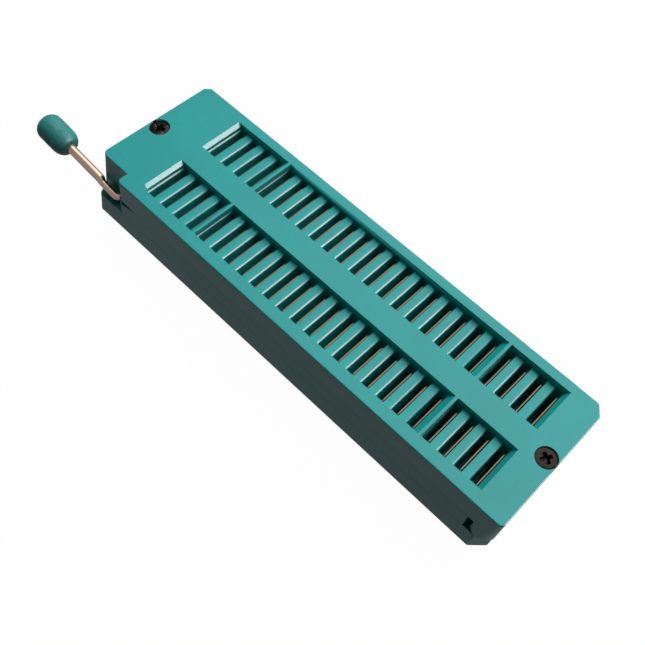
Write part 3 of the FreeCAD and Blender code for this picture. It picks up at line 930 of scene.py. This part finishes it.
class SOCKET_OT_knob(bpy.types.Operator):
    """Turned knob with a domed near end, a mould seam and a rounded far end"""

    bl_idname = "socket.knob"
    bl_label = "Knob"

    def execute(self, context):
        sizes = context.scene.socket_sizes
        inside = 2 * MM
        round_steps = 12
        turn_steps = 72
        rise = sizes.knob_radius - sizes.knob_neck
        groove = ((-0.5, 0), (-0.2, 1), (0.2, 1), (0.5, 0))
        outline = [(inside, sizes.rod_radius), (0, sizes.rod_radius), (0, sizes.knob_neck)]
        for step in range(1, round_steps + 1):
            angle = step / round_steps * math.pi / 2
            outline.append((
                sizes.knob_dome * (1 - math.cos(angle)),
                sizes.knob_neck + rise * math.sin(angle),
            ))
        for share, depth in groove:
            outline.append((
                sizes.knob_seam + share * sizes.seam_width,
                sizes.knob_radius - depth * sizes.seam_depth,
            ))
        for step in range(round_steps + 1):
            angle = step / round_steps * math.pi / 2
            outline.append((
                sizes.knob_length - sizes.knob_end * (1 - math.sin(angle)),
                sizes.knob_radius - sizes.knob_end * (1 - math.cos(angle)),
            ))
        outline.append((sizes.knob_length, 0))

        def build(shape):
            turn_outline(shape, [(s, 0, r) for s, r in outline], (1, 0, 0), turn_steps)
            turn = arm_direction(sizes).to_track_quat("X", "Z").to_matrix().to_4x4()
            place = Matrix.Translation(arm_point(sizes, sizes.knob_start)) @ turn
            bmesh.ops.transform(shape, matrix=place, verts=shape.verts)

        obj = add_mesh("knob", build)
        obj.data.shade_smooth()
        obj.data.set_sharp_from_angle(angle=math.radians(50))
        paint(obj, moulded_plastic("knob_plastic", context.scene.socket_finish.knob, 0.5))
        settle(obj, "lever", ["lever_knob"])
        return {"FINISHED"}


class SOCKET_OT_screws(bpy.types.Operator):
    """Countersunk cover screws with a cross recess, one at each end"""

    bl_idname = "socket.screws"
    bl_label = "Screws"

    def execute(self, context):
        sizes = context.scene.socket_sizes
        left_low, left_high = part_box("cover_screw_left")
        right_low, right_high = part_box("cover_screw_right")
        face = left_high.z
        rim = 0.2 * MM
        crown_drop = 0.14 * MM
        crown_power = 4
        crown_rings = (0, 0.5, 0.7, 0.85, 0.95, 1)
        turn_steps = 48
        edge_round = 0.04 * MM
        neck = face - rim - (sizes.head_radius - sizes.shank_radius)
        outline = [
            (sizes.head_radius * share, face - crown_drop * share ** crown_power)
            for share in crown_rings
        ]
        outline += [
            (sizes.head_radius, face - rim),
            (sizes.shank_radius, neck),
            (sizes.shank_radius, left_low.z + sizes.shank_radius),
            (sizes.shank_radius / 2, left_low.z),
            (0, left_low.z),
        ]

        def build_head(shape):
            turn_outline(shape, [(r, 0, z) for r, z in outline], (0, 0, 1), turn_steps)

        def build_recess(shape):
            over = 0.2 * MM
            taper = 0.45
            widen = 1 + over * (1 - taper) / sizes.recess_depth
            rings = []
            for z, share in ((face - sizes.recess_depth, taper), (face + over, widen)):
                wing = [
                    Vector((sizes.recess_span * share, -sizes.recess_slot, z)),
                    Vector((sizes.recess_span * share, sizes.recess_slot, z)),
                    Vector((sizes.recess_slot, sizes.recess_slot, z)),
                ]
                turns = [Matrix.Rotation(quarter * math.pi / 2, 3, "Z") for quarter in range(4)]
                rings.append([shape.verts.new(turn @ point) for turn in turns for point in wing])
            deep, top = rings
            shape.faces.new(deep[::-1])
            shape.faces.new(top)
            for i in range(len(deep)):
                shape.faces.new((deep[i - 1], deep[i], top[i], top[i - 1]))

        obj = cut_with(add_mesh("cover_screws", build_head), add_mesh("recess", build_recess))
        obj = soften(obj, edge_round, segments=2)
        obj = run_tree(obj, repeat_tree(), {
            "Count": 2,
            "Pitch": right_low.x - left_low.x,
            "Middle": (left_low.x + right_high.x) / 2,
            "Across": (left_low.y + left_high.y) / 2,
            "Shift": 0.0,
            "Turn": math.radians(40),
            "Seed": 3,
            "Material": dark_steel("screw_plate", context.scene.socket_finish.screw),
        })
        settle(obj, "housing", ["cover_screw_left", "cover_screw_right"])
        return {"FINISHED"}


class SOCKET_OT_stage(bpy.types.Operator):
    """Floor, lamps, surroundings and camera"""

    bl_idname = "socket.stage"
    bl_label = "Stage"

    def execute(self, context):
        stage = context.scene.socket_stage
        self.add_floor(stage)
        self.add_lamps(stage)
        self.add_surroundings(stage)
        self.add_camera(stage)
        context.scene.view_settings.view_transform = "Standard"
        return {"FINISHED"}

    def add_floor(self, stage):
        """Square floor at the tips of the solder tails."""
        half = stage.floor_size / 2

        def build(shape):
            square = [(-half, -half), (half, -half), (half, half), (-half, half)]
            shape.faces.new([shape.verts.new((x, y, floor_level)) for x, y in square])

        obj = add_mesh("floor", build)
        paint(obj, studio_floor("studio_floor", stage.floor_colour, stage.floor_glow))

    def add_lamps(self, stage):
        """One wide soft key lamp above and behind, and two panels that only reflections see."""
        up = Vector((0, 0, 1))
        lift = 0.05 * MM
        key = Vector(stage.key_place)
        self.add_panel("key", key, -key, stage.key_size, stage.key_power)
        far = Vector(stage.window_place)
        window = self.add_panel("window", far, -far, stage.window_size, stage.window_power)
        ground = up * (floor_level + lift)
        shine = self.add_panel("floor_shine", ground, up, stage.shine_size, stage.shine_power)
        for panel in (window, shine):
            panel.visible_camera = False
            panel.visible_diffuse = False

    def add_panel(self, name, place, way, size, power):
        """Square lamp at a place, turned to shine along a direction."""
        lamp = bpy.data.lights.new(name, "AREA")
        lamp.size = size
        lamp.energy = power
        obj = bpy.data.objects.new(name, lamp)
        obj.location = place
        obj.rotation_mode = "QUATERNION"
        obj.rotation_quaternion = way.to_track_quat("-Z", "Y")
        bpy.context.scene.collection.objects.link(obj)
        return obj

    def add_surroundings(self, stage):
        """White surroundings that light the object only a little."""
        world = bpy.data.worlds.new("studio")
        world.use_nodes = True
        world.node_tree.nodes.clear()
        graph = Graph(world.node_tree)
        strength = by_ray(graph, direct=1, mirrored=stage.sky, rest=stage.ambient)
        white = (1, 1, 1, 1)
        sky = graph.node("ShaderNodeBackground", {}, {"Color": white, "Strength": strength})
        graph.node("ShaderNodeOutputWorld", {}, {"Surface": sky})
        bpy.context.scene.world = world

    def add_camera(self, stage):
        """Camera at the picture's viewing angle."""
        camera = bpy.data.cameras.new("camera")
        camera.lens = stage.lens
        camera.clip_start = 0.005
        obj = bpy.data.objects.new("camera", camera)
        obj.location = stage.camera_place
        view = Vector(stage.camera_target) - Vector(stage.camera_place)
        obj.rotation_mode = "QUATERNION"
        roll = Quaternion((0, 0, 1), stage.camera_roll)
        obj.rotation_quaternion = view.to_track_quat("-Z", "Y") @ roll
        bpy.context.scene.collection.objects.link(obj)
        bpy.context.scene.camera = obj


OPERATORS = (
    SOCKET_OT_base,
    SOCKET_OT_cover,
    SOCKET_OT_slider,
    SOCKET_OT_bars,
    SOCKET_OT_contacts,
    SOCKET_OT_lever,
    SOCKET_OT_knob,
    SOCKET_OT_screws,
    SOCKET_OT_stage,
)


class SOCKET_PT_panel(bpy.types.Panel):
    """Lists the pieces and their settings"""

    bl_idname = "SOCKET_PT_panel"
    bl_label = "Lever Test Socket"
    bl_space_type = "VIEW_3D"
    bl_region_type = "UI"
    bl_category = "Socket"

    def draw(self, context):
        scene = context.scene
        for operator in OPERATORS:
            self.layout.operator(operator.bl_idname)
        for group in (scene.socket_sizes, scene.socket_finish, scene.socket_stage):
            box = self.layout.box()
            for name in group.__annotations__:
                box.prop(group, name)


CLASSES = (SocketSizes, SocketFinish, SocketStage) + OPERATORS + (SOCKET_PT_panel,)


def register():
    """Registers the classes and hangs the settings on the scene."""
    for item in CLASSES:
        bpy.utils.register_class(item)
    bpy.types.Scene.socket_sizes = PointerProperty(type=SocketSizes)
    bpy.types.Scene.socket_finish = PointerProperty(type=SocketFinish)
    bpy.types.Scene.socket_stage = PointerProperty(type=SocketStage)


def unregister():
    """Takes the settings off the scene and the classes out again."""
    del bpy.types.Scene.socket_stage
    del bpy.types.Scene.socket_finish
    del bpy.types.Scene.socket_sizes
    for item in reversed(CLASSES):
        bpy.utils.unregister_class(item)


def main():
    """Makes every piece and the stage."""
    register()
    for operator in OPERATORS:
        group, name = operator.bl_idname.split(".")
        getattr(getattr(bpy.ops, group), name)()


if __name__ == "__main__":
    main()
